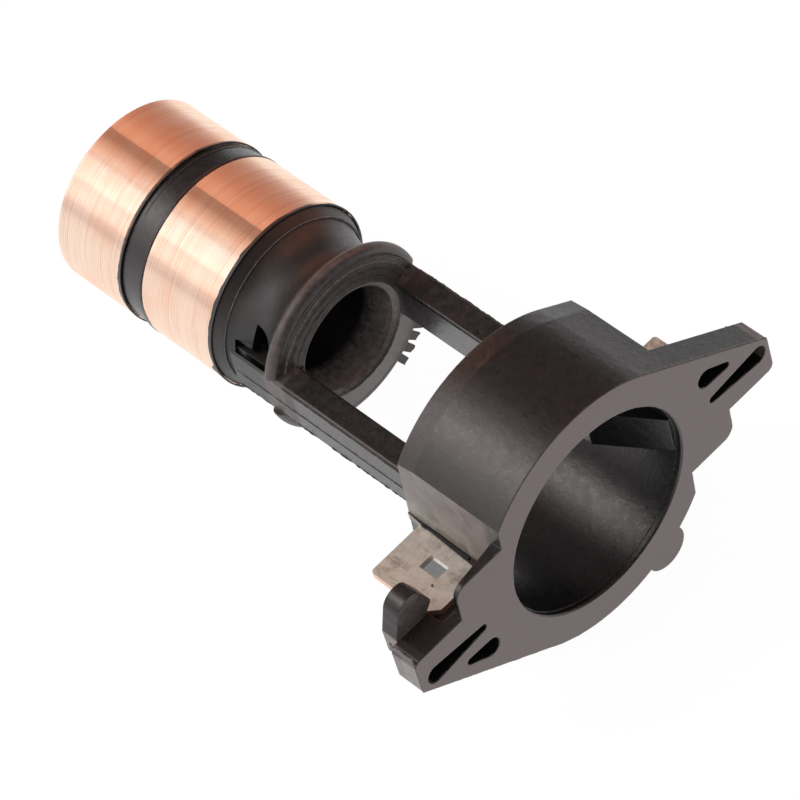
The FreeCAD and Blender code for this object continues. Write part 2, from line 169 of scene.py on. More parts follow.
class Tree:
    """A node tree, with short ways to add nodes and to link or set their inputs."""

    def __init__(self, node_tree):
        self.node_tree = node_tree
        node_tree.nodes.clear()

    def add(self, kind, settings=None, **inputs):
        """A new node; an input's name is written with _ for each space."""
        node = self.node_tree.nodes.new(kind)
        for key, value in (settings or {}).items():
            setattr(node, key, value)
        for key, value in inputs.items():
            self.put(node, key.replace("_", " "), value)
        return node

    def put(self, node, name, value):
        """Link an input to a socket, or set it to a number or colour."""
        socket = node.inputs[name]
        if isinstance(value, bpy.types.NodeSocket):
            self.node_tree.links.new(value, socket)
        elif socket.type == "RGBA":
            socket.default_value = (*value, 1)
        else:
            socket.default_value = value

    def math(self, operation, first, second=0.0, clamp=False):
        node = self.add("ShaderNodeMath", {"operation": operation, "use_clamp": clamp})
        self.put(node, 0, first)
        self.put(node, 1, second)
        return node.outputs[0]

    def product(self, *factors):
        result = factors[0]
        for factor in factors[1:]:
            result = self.math("MULTIPLY", result, factor)
        return result

    def absolute(self, value):
        return self.math("ABSOLUTE", value)

    def above(self, value, limit):
        return self.math("GREATER_THAN", value, limit)

    def below(self, value, limit):
        return self.math("LESS_THAN", value, limit)

    def without(self, share):
        """What is left of 1."""
        return self.math("SUBTRACT", 1.0, share)

    def ramp(self, value, stops):
        """A colour ramp; stops are (position, grey or colour)."""
        node = self.add("ShaderNodeValToRGB", Fac=value)
        elements = node.color_ramp.elements
        while len(elements) < len(stops):
            elements.new(1.0)
        for element, (position, colour) in zip(elements, stops):
            element.position = position
            grey = isinstance(colour, (int, float))
            element.color = (colour, colour, colour, 1) if grey else (*colour, 1)
        return node.outputs[0]

    def fade(self, value, start, end, first=0.0, last=1.0):
        """The first grey or colour below start, the last one above end, and a blend between them."""
        return self.ramp(value, [(start, first), (end, last)])

    def fade_mm(self, value, stretch, reach, first=0.0, last=1.0):
        """A fade along a stretch of millimetres up to reach, since a ramp by itself ends at 1."""
        start, end = stretch
        return self.fade(self.math("DIVIDE", value, reach), start / reach, end / reach, first, last)

    def band(self, value, stretch, soft):
        """1 where the value lies in the stretch, fading to 0 over soft."""
        low, high = stretch
        rise = self.add("ShaderNodeMapRange", Value=value, From_Min=low - soft, From_Max=low)
        fall = self.add("ShaderNodeMapRange", Value=value, From_Min=high + soft, From_Max=high)
        return self.product(rise.outputs[0], fall.outputs[0])

    def mix(self, factor, first, second):
        """The first colour where the factor is 0, and the second where it is 1."""
        node = self.add("ShaderNodeMix", {"data_type": "RGBA"})
        self.put(node, MIX_FACTOR, factor)
        self.put(node, MIX_FIRST, first)
        self.put(node, MIX_SECOND, second)
        return node.outputs[MIX_RESULT]

    def mix_shader(self, factor, first, second):
        """The first shader where the factor is 0, and the second where it is 1."""
        node = self.add("ShaderNodeMixShader", Fac=factor)
        self.put(node, 1, first)
        self.put(node, 2, second)
        return node.outputs[0]

    def place(self, stretch=(1.0, 1.0, 1.0)):
        """The place on the object in millimetres, times the stretch."""
        coordinates = self.add("ShaderNodeTexCoord")
        mapping = self.add("ShaderNodeMapping", Vector=coordinates.outputs["Object"])
        mapping.inputs["Scale"].default_value = [factor / MM for factor in stretch]
        return mapping.outputs[0]

    def normal(self):
        """The way that the surface faces."""
        return self.add("ShaderNodeNewGeometry").outputs["Normal"]

    def split(self, vector):
        """The vector's numbers along X, Y and Z."""
        return self.add("ShaderNodeSeparateXYZ", Vector=vector).outputs[:]

    def noise(self, place, scale, detail, roughness=0.55, distortion=0.0):
        node = self.add("ShaderNodeTexNoise", Vector=place, Scale=scale, Detail=detail,
                        Roughness=roughness, Distortion=distortion)
        return node.outputs[0]

    def bump(self, height, strength, distance, normal=None):
        """The way that the surface faces where the height roughens it; the distance is in millimetres."""
        node = self.add("ShaderNodeBump", Strength=strength, Distance=distance * MM, Height=height)
        if normal is not None:
            self.put(node, "Normal", normal)
        return node.outputs[0]

    def mirrored_ray(self, path):
        """1 for a ray that comes from metal or glass."""
        glossy, through = path.outputs["Is Glossy Ray"], path.outputs["Is Transmission Ray"]
        return self.math("ADD", glossy, through, clamp=True)

    def surface(self, **inputs):
        """The material's one shader, with its inputs."""
        shader = self.add("ShaderNodeBsdfPrincipled", **inputs)
        self.add("ShaderNodeOutputMaterial", Surface=shader.outputs[0])


def new_material(name):
    material = bpy.data.materials.new(name)
    material.use_nodes = True
    return material, Tree(material.node_tree)


# The black moulding's material


def moulding_fields(tree):
    """What the moulding's looks are worked out from: places, directions, noises, edges, and where the flat
    is dusty and carries painted reflected light.
    """
    here = SimpleNamespace()
    here.mm = tree.place()
    here.x, here.y, here.z = tree.split(here.mm)
    here.reach = tree.absolute(here.y)
    squares = tree.math("ADD", tree.product(here.y, here.y), tree.product(here.z, here.z))
    here.radius = tree.math("SQRT", squares)

    normal = tree.normal()
    here.facing_x, here.facing_y, _ = tree.split(normal)
    here.sideways = tree.fade(tree.absolute(here.facing_y), 0.3, 0.7, 0.15, 1.0)
    here.front = tree.product(tree.fade(here.facing_x, 0.85, 0.98), tree.above(here.x, FRONT_FACE_BACK))

    edge_round = 0.11
    here.rounded = tree.add("ShaderNodeBevel", {"samples": 6}, Radius=edge_round * MM).outputs[0]
    bend = tree.add("ShaderNodeVectorMath", {"operation": "DOT_PRODUCT"})
    tree.put(bend, 0, here.rounded)
    tree.put(bend, 1, normal)
    here.edge = tree.fade(bend.outputs["Value"], 0.84, 0.98, 1.0, 0.0)

    here.mottle = tree.noise(here.mm, scale=1.6, detail=6.0, roughness=0.7)
    here.specks = tree.fade(tree.noise(here.mm, scale=6.0, detail=3.0, roughness=0.6), 0.68, 0.73)
    here.broken = tree.fade(tree.noise(here.mm, scale=2.4, detail=4.0, roughness=0.7), 0.42, 0.6)
    along = tree.place((0.5, 1.0, 1.0))
    scratched = tree.noise(along, scale=3.2, detail=8.0, roughness=0.8, distortion=1.2)
    here.scratches = tree.fade(scratched, 0.60, 0.72)
    here.haze = flat_haze(tree, here)
    return here


def flat_haze(tree, here):
    """How dusty the left tab's flat is and how much reflected light is painted on it, with a blotch in
    both.
    """
    facing_left = tree.fade(tree.math("MULTIPLY", here.facing_y, -1.0), 0.8, 0.93)
    flat = tree.product(tree.band(here.y, FLAT_ACROSS, 0.1), tree.band(here.x, FLAT_ALONG, 0.5),
                        tree.above(here.z, FLAT_BOTTOM), facing_left)
    blotches = tree.noise(here.mm, scale=0.6, detail=6.0, roughness=0.6, distortion=0.4)
    blotch = tree.fade(blotches, 0.38, 0.58)
    return tree.product(flat, tree.math("ADD", tree.product(blotch, 0.5), 0.45))


def moulding_ground(tree, here):
    """The front face is painted paler than the drawn sides, standing in for the bright floor's light that
    it catches, and the hub is the darkest.
    """
    dark, pale = (0.004, 0.006, 0.0068), (0.009, 0.0102, 0.011)
    front_light_dark, front_light_pale = (0.106, 0.064, 0.065), (0.132, 0.080, 0.080)
    hub_dark, hub_share = (0.003, 0.006, 0.0075), 0.7
    colour = tree.fade(tree.noise(here.mm, scale=0.25, detail=3.0), 0.3, 0.7, dark, pale)
    # painted light: the front face is made far paler than the black sides, for the floor's light that it
    # mirrors
    colour = tree.mix(here.front, colour, tree.fade(here.mottle, 0.3, 0.7, front_light_dark, front_light_pale))
    return tree.mix(tree.product(tree.band(here.x, HUB_ALONG, 0.2), hub_share), colour, hub_dark)


def add_scuffs(tree, here, colour):
    """Scuffs on the arms; scuffs and a painted highlight on the hub's front; scuffs and painted light on
    the mouth's lower inner wall, where light falls into the bore; and scratches off the front face.
    """
    arm_scuff, hub_scuff_and_highlight = (0.085, 0.068, 0.066), (0.115, 0.094, 0.089)
    mouth_scuff_and_light, scratch = (0.21, 0.178, 0.174), (0.10, 0.088, 0.085)
    mouth_share, scratch_share = 0.8, 0.15
    arms = tree.product(tree.band(here.x, ARMS_ALONG, 0.6), tree.fade(here.mottle, 0.45, 0.75, 0.0, 0.35))
    # scuffs and a painted highlight: the hub's front is painted paler, partly for the highlight that it
    # reflects
    hub_front = tree.product(tree.band(here.x, HUB_FRONT_ALONG, 0.3),
                             tree.fade(here.mottle, 0.38, 0.62, 0.25, 0.75))
    # scuffs and painted light: the mouth's lower inner wall is painted pale where light falls into the bore
    mouth = tree.product(tree.band(here.radius, MOUTH_INSIDE, 0.1), tree.band(here.x, MOUTH_ALONG, 0.8),
                         tree.band(here.z, MOUTH_LOWER_SIDE, 2.0),
                         tree.math("ADD", tree.product(here.broken, 0.8), 0.5))
    colour = tree.mix(arms, colour, arm_scuff)
    colour = tree.mix(hub_front, colour, hub_scuff_and_highlight)
    colour = tree.mix(tree.math("MULTIPLY", mouth, mouth_share, clamp=True), colour, mouth_scuff_and_light)
    return tree.mix(tree.product(here.scratches, tree.without(here.front), scratch_share), colour, scratch)


def add_haze(tree, here, colour):
    """A dusty beige with painted reflected light on the left tab's flat, paler beside the tab, where the
    tin tab's reflection is painted.
    """
    dust_and_reflection_colour, painted_tab_reflection = (0.32, 0.262, 0.25), (0.45, 0.395, 0.34)
    # painted reflection of the tin tab that lies just below the flat: paler low down, near the tab
    near_tab = tree.fade_mm(here.z, TAB_REFLECTION_HEIGHTS, reach=10.0, first=1.0, last=0.0)
    return tree.mix(here.haze, colour, tree.mix(near_tab, dust_and_reflection_colour, painted_tab_reflection))


def light_and_rub_fins(tree, here, colour):
    """Rubbed streaks on the fins' sides, and painted light on their front faces, which lie in the lamps'
    shadow, paler towards the outside.
    """
    streak, face = (0.17, 0.13, 0.125), (0.22, 0.17, 0.168)
    streak_share = 0.35
    streaked = tree.noise(tree.place((0.35, 1.0, 1.6)), scale=1.3, detail=5.0, roughness=0.7)
    sides = tree.product(tree.above(here.reach, FIN_INNER_SIDE), tree.below(here.x, FIN_STREAKS_FRONT),
                         tree.fade(streaked, 0.42, 0.62))
    colour = tree.mix(tree.product(sides, here.sideways, streak_share), colour, streak)
    # painted light: the fins' fronts lie in the lamps' shadow, so they are painted paler, most towards the
    # outside
    # one fin stands up on the left and the other hangs down on the right, so y times z is negative
    on_fin = tree.below(tree.product(here.y, here.z), FIN_Y_TIMES_Z)
    fronts = tree.product(on_fin, tree.below(here.x, FIN_FRONT), tree.fade(here.facing_x, 0.6, 0.9),
                          tree.fade_mm(here.reach, FIN_FRONT_ACROSS, reach=20.0, first=0.75, last=1.0))
    return tree.mix(tree.product(fronts, tree.fade(here.mottle, 0.35, 0.65, 0.6, 1.0)), colour, face)


def paint_ear_end_reflection(tree, here, colour):
    """Painted reflection of the bright floor on the ears' ends."""
    dust_and_reflection_colour, reflection_share = (0.37, 0.275, 0.26), 0.75
    # painted reflection: the ears' end faces mirror the bright floor, so they are painted pale
    ends = tree.product(tree.above(here.reach, EAR_END), here.sideways,
                        tree.below(tree.absolute(here.z), EAR_END_HALF_HEIGHT),
                        tree.fade(here.mottle, 0.35, 0.65, 0.3, 0.8))
    return tree.mix(tree.product(ends, reflection_share), colour, dust_and_reflection_colour)


def moulding_shine(tree, here):
    """The shine's strength and tint: duller in the hub's groove, on the right shoulder and on the fins."""
    plain_tint, groove_tint = (1.0, 0.9, 0.89), (0.93, 0.89, 0.89)
    plain_strength, strength_drop, groove_share = 0.6, 0.28, 0.2
    shoulder = tree.product(tree.fade_mm(here.y, SHOULDER_ACROSS, reach=20.0),
                            tree.band(here.x, COLLAR_ALONG, 0.1))
    fins = tree.product(tree.above(here.reach, FIN_INNER_SIDE), tree.below(here.x, FIN_FRONT),
                        here.sideways)
    groove = tree.band(here.x, GROOVE_ALONG, 0.4)
    duller = tree.math("MAXIMUM", tree.product(groove, groove_share), shoulder)
    duller = tree.math("MAXIMUM", duller, fins)
    strength = tree.math("SUBTRACT", plain_strength, tree.product(duller, strength_drop))
    return strength, tree.mix(groove, plain_tint, groove_tint)


def moulding_roughness(tree, here):
    """Satin, and rougher on the hub's front part and where the flat is dusty."""
    smoothest, roughest = 0.24, 0.35
    hub_extra, dust_extra = 0.14, 0.25
    satin = tree.fade(here.mottle, 0.3, 0.7, smoothest, roughest)
    hub = tree.product(tree.band(here.x, HUB_ROUGH_ALONG, 0.5), hub_extra)
    return tree.math("ADD", satin, tree.math("ADD", hub, tree.product(here.haze, dust_extra)))


def moulding_relief(tree, here):
    """Fine grain, soft waves that fade out on the front face, and the scratches' cuts."""
    grain = tree.noise(here.mm, scale=7.0, detail=5.0)
    waves = tree.noise(here.mm, scale=1.1, detail=8.0, roughness=0.72, distortion=0.5)
    front_calm = 0.85
    waves = tree.product(waves, tree.without(tree.product(here.front, front_calm)))
    relief = tree.bump(grain, strength=0.22, distance=0.02, normal=here.rounded)
    relief = tree.bump(waves, strength=0.5, distance=0.07, normal=relief)
    return tree.bump(here.scratches, strength=0.2, distance=0.02, normal=relief)


def moulding_material():
    """Black phenolic: satin and mottled, scuffed and dusty where it was handled, worn at its edges, with
    painted light on the front face, the left flat, the fins' fronts, the ears' ends, the hub's front and
    the mouth.
    """
    speck, worn_edge = (0.16, 0.14, 0.135), (0.105, 0.085, 0.083)
    speck_share, edge_share = 0.22, 0.55
    material, tree = new_material("black_phenolic")
    here = moulding_fields(tree)
    colour = moulding_ground(tree, here)
    colour = add_scuffs(tree, here, colour)
    colour = add_haze(tree, here, colour)
    colour = light_and_rub_fins(tree, here, colour)
    colour = paint_ear_end_reflection(tree, here, colour)
    colour = tree.mix(tree.product(here.specks, speck_share), colour, speck)
    colour = tree.mix(tree.product(here.edge, here.broken, edge_share), colour, worn_edge)
    strength, tint = moulding_shine(tree, here)
    tree.surface(Base_Color=colour, Roughness=moulding_roughness(tree, here), IOR=1.6,
                 Specular_IOR_Level=strength, Specular_Tint=tint, Normal=moulding_relief(tree, here))
    return material


# The other materials


def flash_material(name, dark, pale, roughness=0.38):
    """The thin torn edge that the mould leaves: rough and spotted, from dark to pale."""
    material, tree = new_material(name)
    spots = tree.noise(tree.place(), scale=5.0, detail=5.0, roughness=0.7)
    tree.surface(Base_Color=tree.fade(spots, 0.38, 0.62, dark, pale), Roughness=roughness, IOR=1.55,
                 Normal=tree.bump(spots, strength=0.5, distance=0.04))
    return material


def copper_material():
    """Copper turned on a lathe: fine lines and tool marks round the axis, and stains."""
    dark_line, line, bright = (0.86, 0.54, 0.40), (1.0, 0.73, 0.575), (1.0, 0.81, 0.68)
    stain = (0.95, 0.50, 0.32)
    tool_feed, waver_share = 0.22, 9.0
    line_share, fine_line_share, tool_mark_share = 0.6, 0.4, 0.10
    material, tree = new_material("turned_copper")
    round_axis = tree.place((1.0, 0.012, 0.012))
    lines = tree.noise(round_axis, scale=4.6, detail=2.0, roughness=0.7)
    fine_lines = tree.noise(round_axis, scale=12.0, detail=2.0, roughness=0.8)
    stained = tree.noise(tree.place((1.0, 0.6, 0.6)), scale=0.35, detail=6.0, roughness=0.6)
    waver = tree.noise(tree.place((1.0, 0.3, 0.3)), scale=0.8, detail=3.0, roughness=0.6)
    along = tree.split(tree.place())[0]
    turns = tree.math("ADD", tree.product(along, 2 * math.pi / tool_feed), tree.product(waver, waver_share))
    tool_marks = tree.product(tree.math("SINE", turns), tool_mark_share)
    fine = tree.math("ADD", tree.product(fine_lines, fine_line_share), tool_marks)
    tone = tree.math("ADD", tree.product(lines, line_share), fine)
    colour = tree.ramp(tone, [(0.30, dark_line), (0.45, line), (0.66, bright)])
    colour = tree.mix(tree.fade(stained, 0.5, 0.72, 0.0, 0.45), colour, stain)
    tangent = tree.add("ShaderNodeTangent", {"direction_type": "RADIAL", "axis": "X"})
    tree.surface(Base_Color=colour, Metallic=1.0, Roughness=0.37, Anisotropic=1.0,
                 Anisotropic_Rotation=0.25, Tangent=tangent.outputs[0],
                 Normal=tree.bump(tone, strength=0.6, distance=0.01))
    return material


def tin_material():
    """A dull tin coat with scratches and stains, and bare pink copper where the strip was cut."""
    dark_stain, tin, bright = (0.38, 0.35, 0.30), (0.67, 0.635, 0.575), (0.85, 0.82, 0.765)
    rubbed, scratch, bare_copper = (0.92, 0.87, 0.80), (0.28, 0.235, 0.20), (0.95, 0.60, 0.47)
    material, tree = new_material("dull_tin")
    mm = tree.place()
    x, y, _ = tree.split(mm)
    facing_z = tree.split(tree.normal())[2]
    side = tree.fade(tree.absolute(facing_z), 0.4, 0.6, 1.0, 0.0)
    # the tab's hole has tin on its walls
    hole = tree.product(tree.band(x, TAB_HOLE_ALONG, 0.01),
                        tree.band(tree.absolute(y), TAB_HOLE_ACROSS, 0.01))
    stains = tree.noise(mm, scale=0.7, detail=6.0, roughness=0.65)
    lengthwise = tree.noise(tree.place((0.5, 5.0, 1.0)), scale=1.3, detail=6.0, roughness=0.75)
    crosswise = tree.noise(tree.place((5.0, 0.7, 1.0)), scale=1.6, detail=5.0, roughness=0.7)
    colour = tree.ramp(stains, [(0.34, dark_stain), (0.48, tin), (0.68, bright)])
    colour = tree.mix(tree.fade(lengthwise, 0.56, 0.64, 0.0, 0.7), colour, rubbed)
    colour = tree.mix(tree.fade(crosswise, 0.58, 0.66, 0.0, 0.42), colour, scratch)
    colour = tree.mix(tree.product(side, tree.without(hole)), colour, bare_copper)
    height = tree.math("ADD", lengthwise, crosswise)
    tree.surface(Base_Color=colour, Metallic=0.6, Roughness=tree.fade(stains, 0.3, 0.7, 0.5, 0.36),
                 Normal=tree.bump(height, strength=0.4, distance=0.03))
    return material


def floor_material():
    """A pale floor that looks white to the camera and in metal, and still takes a soft shadow."""
    plain_colour, shaded_colour = (0.8, 0.8, 0.8), (0.10, 0.10, 0.10)
    material, tree = new_material("pale_floor")
    path = tree.add("ShaderNodeLightPath")
    plain = tree.add("ShaderNodeBsdfDiffuse", Color=plain_colour)
    shaded = tree.add("ShaderNodeBsdfDiffuse", Color=shaded_colour)
    glow = tree.add("ShaderNodeEmission", Color=WHITE, Strength=0.955)
    seen = tree.add("ShaderNodeAddShader")
    tree.put(seen, 0, shaded.outputs[0])
    tree.put(seen, 1, glow.outputs[0])
    mirrored = tree.add("ShaderNodeEmission", Color=WHITE, Strength=1.1)
    direct = tree.mix_shader(path.outputs["Is Camera Ray"], plain.outputs[0], seen.outputs[0])
    floor = tree.mix_shader(tree.mirrored_ray(path), direct, mirrored.outputs[0])
    tree.add("ShaderNodeOutputMaterial", Surface=floor)
    return material


# Surroundings


def make_floor():
    mesh = bpy.data.meshes.new("floor")
    shape = bmesh.new()
    bmesh.ops.create_circle(shape, cap_ends=True, segments=96, radius=FLOOR_RADIUS * MM)
    shape.to_mesh(mesh)
    shape.free()
    mesh.transform(Matrix.Translation(Vector((OBJECT_MIDDLE.x, 0.0, FLOOR_LEVEL)) * MM))
    mesh.materials.append(floor_material())
    floor = bpy.data.objects.new("floor", mesh)
    bpy.context.scene.collection.objects.link(floor)


def make_panel(name, direction, size, radiance):
    """A square soft light that faces the object, from a direction, with a given brightness."""
    data = bpy.data.lights.new(name, "AREA")
    width = size * MM
    data.shape = "SQUARE"
    data.size = width
    data.energy = radiance * math.pi * width * width
    light = bpy.data.objects.new(name, data)
    bpy.context.scene.collection.objects.link(light)
    away = Vector(direction).normalized()
    side = Vector((1, 0, 0)) - away * away.x
    side.normalize()
    turn = Matrix((side, away.cross(side), away)).transposed()
    place = OBJECT_MIDDLE * MM + away * (PANEL_DISTANCE * MM)
    light.matrix_world = Matrix.Translation(place) @ turn.to_4x4()


def room_colour(tree, turn, room):
    """The room's colour round the axis; the turn goes from 0 to 1 as the degrees do from -180 to 180."""
    return tree.ramp(turn, [(degrees / 360 + 0.5, colour) for degrees, colour in room])


def make_world():
    """A room: white to the camera, plain as a light, and in its soft colours only where it is mirrored."""
    world = bpy.data.worlds.new("room")
    bpy.context.scene.world = world
    world.use_nodes = True
    tree = Tree(world.node_tree)
    length, across, height = tree.split(tree.add("ShaderNodeTexCoord").outputs["Generated"])
    turn = tree.math("ARCTAN2", tree.math("MULTIPLY", across, -1.0), height)
    turn = tree.math("ADD", tree.math("DIVIDE", turn, 2 * math.pi), 0.5)
    # the copper blurs the whole length of the room, the satin moulding only the part behind the rings
    warm = room_colour(tree, turn, WARM_ROOM)
    plain = room_colour(tree, turn, PLAIN_ROOM)
    colour = tree.mix(tree.band(length, PLAIN_STRETCH, 0.05), warm, plain)
    colour = tree.mix(tree.band(length, FRONT_STRETCH, 0.15), colour, FRONT_COLOUR)
    path = tree.add("ShaderNodeLightPath")
    ambient = tree.add("ShaderNodeBackground", Color=AMBIENT, Strength=1.0)
    mirrored = tree.add("ShaderNodeBackground", Color=colour, Strength=1.0)
    white = tree.add("ShaderNodeBackground", Color=WHITE, Strength=1.0)
    unseen = tree.mix_shader(tree.mirrored_ray(path), ambient.outputs[0], mirrored.outputs[0])
    room = tree.mix_shader(path.outputs["Is Camera Ray"], unseen, white.outputs[0])
    tree.add("ShaderNodeOutputWorld", Surface=room)


# How flash and crumbs are made


def keep_piece(shape, name, material):
    """Make a piece of the shape; it rides on the part's one body."""
    bmesh.ops.recalc_face_normals(shape, faces=shape.faces)
    mesh = bpy.data.meshes.new(name)
    shape.to_mesh(mesh)
    shape.free()
    mesh.materials.append(material)
    piece = bpy.data.objects.new(name, mesh)
    bpy.context.scene.collection.objects.link(piece)
    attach(piece, "root")


def inside_box(place):
    """The place, moved into the CAD box where it lies just outside."""
    return Vector([min(max(value, low), high) for value, low, high in zip(place, *cad_box)])


def ribbon(name, places, leans, half_width, heights, material, root=0.08, closed=False):
    """A thin wedge along the places that stands up along the leans by the heights."""
    shape = bmesh.new()
    rows = []
    last = len(places) - 1
    for number, (place, lean, height) in enumerate(zip(places, leans, heights)):
        if closed:
            before, after = places[number - 1], places[(number + 1) % len(places)]
        else:
            before, after = places[max(number - 1, 0)], places[min(number + 1, last)]
        side = (after - before).cross(lean).normalized() * half_width
        foot, top = place - lean * root, place + lean * height
        corners = (foot - side, foot + side, top + side * FLASH_TOP_SHARE, top - side * FLASH_TOP_SHARE)
        rows.append([shape.verts.new(inside_box(corner * MM)) for corner in corners])
    next_rows = rows[1:] + rows[:1] if closed else rows[1:]
    for row, next_row in zip(rows, next_rows):
        for number in range(len(row)):
            after = (number + 1) % len(row)
            shape.faces.new((row[number], row[after], next_row[after], next_row[number]))
    if not closed:
        shape.faces.new(rows[0][::-1])
        shape.faces.new(rows[-1])
    keep_piece(shape, name, material)


def torn(places, heights, frequency, seed, bumps=()):
    """Ragged heights between a low and a high one; bumps are (place's number, spread, extra height)."""
    low, high = heights
    middle_share, coarse, fine, fine_scale = 0.5, 0.75, 0.6, 3.1
    shift = Vector([step * seed for step in SEED_SHIFT])
    ragged = []
    for number, place in enumerate(places):
        spot = place * frequency + shift
        wave = middle_share + coarse * field.noise(spot) + fine * field.noise(spot * fine_scale)
        height = low + (high - low) * min(max(wave, 0.0), 1.0)
        for middle, spread, extra in bumps:
            height += extra * math.exp(-((number - middle) / spread) ** 2)
        ragged.append(max(height, FLASH_LEAST_HEIGHT))
    return ragged


def circle(x, radius, start, end, lean, step=ANGLE_STEP):
    """Places round the axis from one angle to another, and their leans.

    An angle is 0 at the top and 90 on the left. A lean has a share along the axis and one outwards.
    """
    along, outwards = lean
    count = int(round((end - start) / step))
    if end - start < 360:
        count += 1
    places, leans = [], []
    for number in range(count):
        angle = math.radians(start + step * number)
        out = Vector((0, -math.sin(angle), math.cos(angle)))
        places.append(Vector((x, 0, 0)) + out * radius)
        leans.append((Vector((along, 0, 0)) + out * outwards).normalized())
    return places, leans


def ring_ribbon(name, x, radius, lean, half_width, heights, frequency, seed, material,
                start=0, end=360, bumps=()):
    """Flash round the axis; its bumps are (angle, spread in degrees, extra height)."""
    places, leans = circle(x, radius, start, end, lean)
    spots = [((angle - start) % 360 / ANGLE_STEP, spread / ANGLE_STEP, extra)
             for angle, spread, extra in bumps]
    ragged = torn(places, heights, frequency, seed, spots)
    ribbon(name, places, leans, half_width, ragged, material, closed=end - start == 360)


def crumb(name, place, size, seed, material):
    """A small broken bit that sits on the moulding or on a strip."""
    frequency, raggedness = 1.3, 0.9
    shape = bmesh.new()
    bmesh.ops.create_icosphere(shape, subdivisions=2, radius=1.0)
    for vertex in shape.verts:
        spot = vertex.co * frequency + Vector((seed, seed, seed))
        vertex.co *= 1 + raggedness * field.noise(spot)
        vertex.co = (Vector(place) + Vector(vertex.co) * size) * MM
    keep_piece(shape, name, material)


def seen_line(pixels):
    """Places on the moulding that the camera sees along a line of pixels, a little apart."""
    surface = BVHTree.FromPolygons([vertex.co.copy() for vertex in body.data.vertices],
                                   [tuple(face.vertices) for face in body.data.polygons])
    right, up, back = camera_axes()
    scale = CAMERA_SENSOR / CAMERA_LENS / PICTURE_SIZE
    centre = PICTURE_SIZE / 2
    places = []
    for (start_x, start_y), (end_x, end_y) in zip(pixels, pixels[1:]):
        wide, tall = end_x - start_x, end_y - start_y
        count = max(1, int(math.hypot(wide, tall) / PIXEL_STEP))
        for number in range(count):
            share = number / count
            x, y = start_x + wide * share - centre, start_y + tall * share - centre
            ray = (right * x * scale - up * y * scale - back).normalized()
            hit = surface.ray_cast(CAMERA_PLACE, ray)[0]
            if hit is not None and (not places or (hit / MM - places[-1]).length < LARGEST_JUMP):
                places.append(hit / MM)
    return places


# The flash, ridges and crumbs themselves


def box_mm(name):
    """A node's lowest and highest corners in millimetres, to a micrometre."""
    return [[round(value / MM, 3) for value in corner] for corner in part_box(name)]


def make_ring_flash(moulding):
    """Moulding squeezed over the copper at the rings' edges, deepest at the lower left."""
    (inner_far, _, _), (inner_near, _, ring_radius) = box_mm("inner_slip_ring")
    outer_near = box_mm("outer_slip_ring")[1][0]
    # how far below the copper's surface the flash lies, and how far outside a ring's edge it starts
    sunk, wide_gap, gap = 0.02, 0.08, 0.07
    radius = ring_radius - sunk
    ring_ribbon("inner_ring_near_flash", inner_near + wide_gap, radius, (-1, 0), half_width=0.07,
                heights=(0.08, 0.24), frequency=0.55, seed=1, material=moulding,
                bumps=((100, 5, 0.55), (112, 4, -0.3), (-42, 5, -0.3), (60, 20, 0.12), (18, 3, 0.12)))
    ring_ribbon("inner_ring_far_flash", inner_far - gap, radius, (1, 0), half_width=0.06,
                heights=(0.04, 0.16), frequency=0.7, seed=2, material=moulding,
                bumps=((95, 14, 0.25), (30, 15, 0.06)))
    ring_ribbon("outer_ring_near_flash", outer_near + gap, radius, (-1, 0), half_width=0.06,
                heights=(0.04, 0.18), frequency=0.7, seed=3, material=moulding, bumps=((80, 20, 0.15),))


def make_hub_lines(moulding, pale_flash):
    """A ridge on the band between the rings, and a pale ridge along the crease between the hub's lip and
    its groove, a painted highlight on the crease.
    """
    outer_near = box_mm("outer_slip_ring")[1][0]
    band_radius, ridge_distance = 7.55, 0.6
    lip_end, lip_radius = -31.47, 7.05
    ring_ribbon("gap_ridge", outer_near + ridge_distance, band_radius, (0, 1), half_width=0.09,
                heights=(0.03, 0.09), frequency=0.6, seed=4, material=moulding, start=-90, end=30,
                bumps=((30, 12, -0.12), (-90, 12, -0.12)))
    # painted highlight: a pale ribbon along the lit crease behind the hub's lip
    ring_ribbon("lip_crease_highlight", lip_end, lip_radius, (0.35, 1), half_width=0.05,
                heights=(0.02, 0.07), frequency=0.9, seed=5, material=pale_flash)


def make_hub_front(flash, pale_flash):
    """Ridges on the hub's cone-shaped front, the mouth's torn rim, and crumbs beside it."""
    hub_front, mouth_radius, slope = -25.3, 4.9, 0.176
    rim_depth, rim_margin = 0.04, 0.05
    ridges = ((6.95, (0.0, 0.08), -100, 105), (6.5, (0.0, 0.09), -75, 80),
              (6.0, (0.01, 0.10), -95, 70), (5.45, (0.0, 0.08), -60, 95))
    rubbed_ridge, ridge_lean = 1, 0.18
    for number, (radius, heights, start, end) in enumerate(ridges):
        x = hub_front - (radius - mouth_radius) * slope
        material = pale_flash if number == rubbed_ridge else flash
        ring_ribbon(f"front_ridge_{number}", x, radius, (1, ridge_lean), half_width=0.12, heights=heights,
                    frequency=0.8, seed=6 + number, material=material, start=start, end=end)
    ring_ribbon("mouth_rim", hub_front - rim_depth, mouth_radius + rim_margin, (1, 0), half_width=0.04,
                heights=(0.01, 0.09), frequency=1.6, seed=11, material=pale_flash,
                bumps=((72, 4, 0.12), (78, 2, 0.1)))
    crumbs = (((-25.2, -4.75, 1.75), 0.16), ((-25.25, -5.0, 1.35), 0.11), ((-25.3, -4.95, 0.8), 0.14))
    for number, (place, size) in enumerate(crumbs):
        crumb(f"mouth_crumb_{number}", place, size, number + 1, pale_flash)


